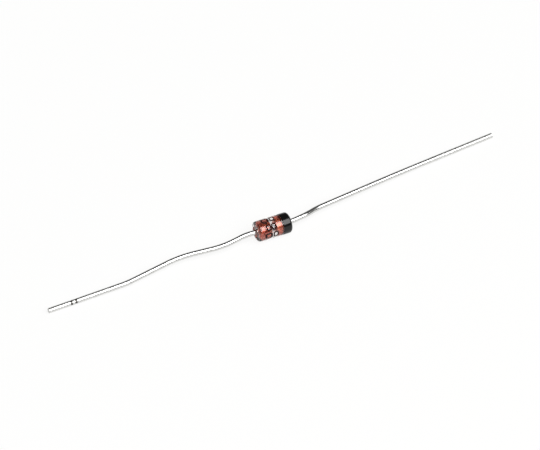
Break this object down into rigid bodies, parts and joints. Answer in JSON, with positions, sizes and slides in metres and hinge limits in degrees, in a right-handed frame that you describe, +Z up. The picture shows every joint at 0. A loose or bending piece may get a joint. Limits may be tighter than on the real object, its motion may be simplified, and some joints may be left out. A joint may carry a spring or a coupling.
{
  "type": "axial glass diode",
  "caption": "Small-signal axial diode: clear glass sleeve over copper slugs, black cathode band and two long, slightly bent wire leads.",
  "frame": {"origin": "middle of the glass sleeve, on its axis", "axes": "+X along the glass towards the cathode end with the band, +Z up with the part lying on its glass and both lead tips, +Y across, to the side that the cathode lead bends to"},
  "size_m": [0.0489, 0.0056, 0.002],
  "materials": {
    "clear_glass": "clear, fire-rounded",
    "copper_slug": "oxidised copper, satin",
    "silicon": "polished, dark grey",
    "silver_contact": "plated silver",
    "tinned_wire": "bright tin plating, drawn",
    "band_paint": "baked black paint"
  },
  "bodies": {
    "root": {"glass_sleeve": "clear_glass", "anode_slug": "copper_slug", "cathode_slug": "copper_slug", "silicon_die": "silicon", "contact_bump": "silver_contact", "anode_lead": "tinned_wire", "cathode_lead": "tinned_wire", "cathode_band": "band_paint"}
  },
  "joints": []
}
